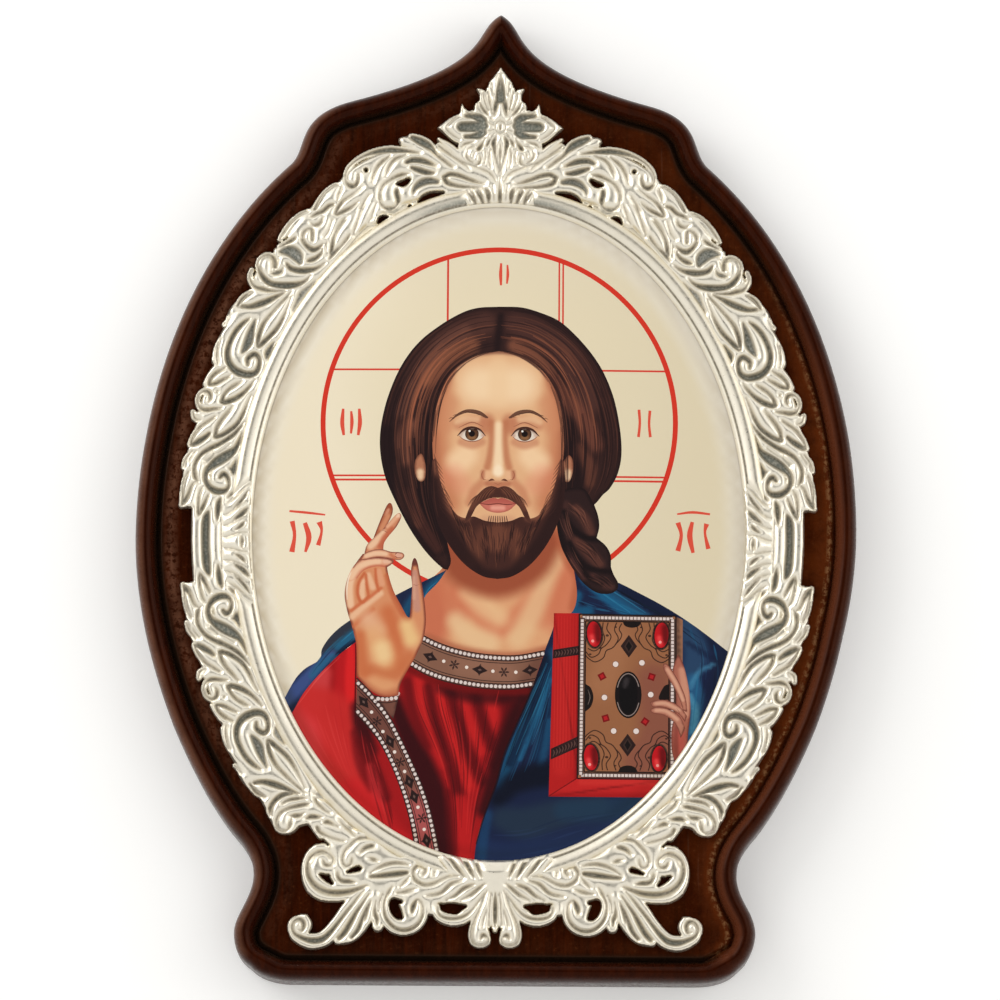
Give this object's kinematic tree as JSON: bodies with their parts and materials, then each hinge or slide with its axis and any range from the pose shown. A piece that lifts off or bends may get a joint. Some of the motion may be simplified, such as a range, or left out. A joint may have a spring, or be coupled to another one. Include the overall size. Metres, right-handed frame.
{
  "type": "metal icon",
  "caption": "Onion-dome lacquered board with a pressed openwork silver oval frame round a domed picture plaque of a haloed figure.",
  "frame": {"origin": "middle of the back of the board, on the surface it lies on", "axes": "+Z out of the picture side, +Y towards the top of the icon, +X to the right seen from the front"},
  "size_m": [0.17, 0.23, 0.0159],
  "materials": {
    "wooden_board": "dark mahogany stain under gloss lacquer",
    "silver_frame": "pressed silver, bright ridges with darkened hollows",
    "oval_plaque": "glossy enamelled picture, slightly domed"
  },
  "bodies": {
    "root": {"wooden_board": "wooden_board", "silver_frame": "silver_frame", "oval_plaque": "oval_plaque"}
  },
  "joints": []
}
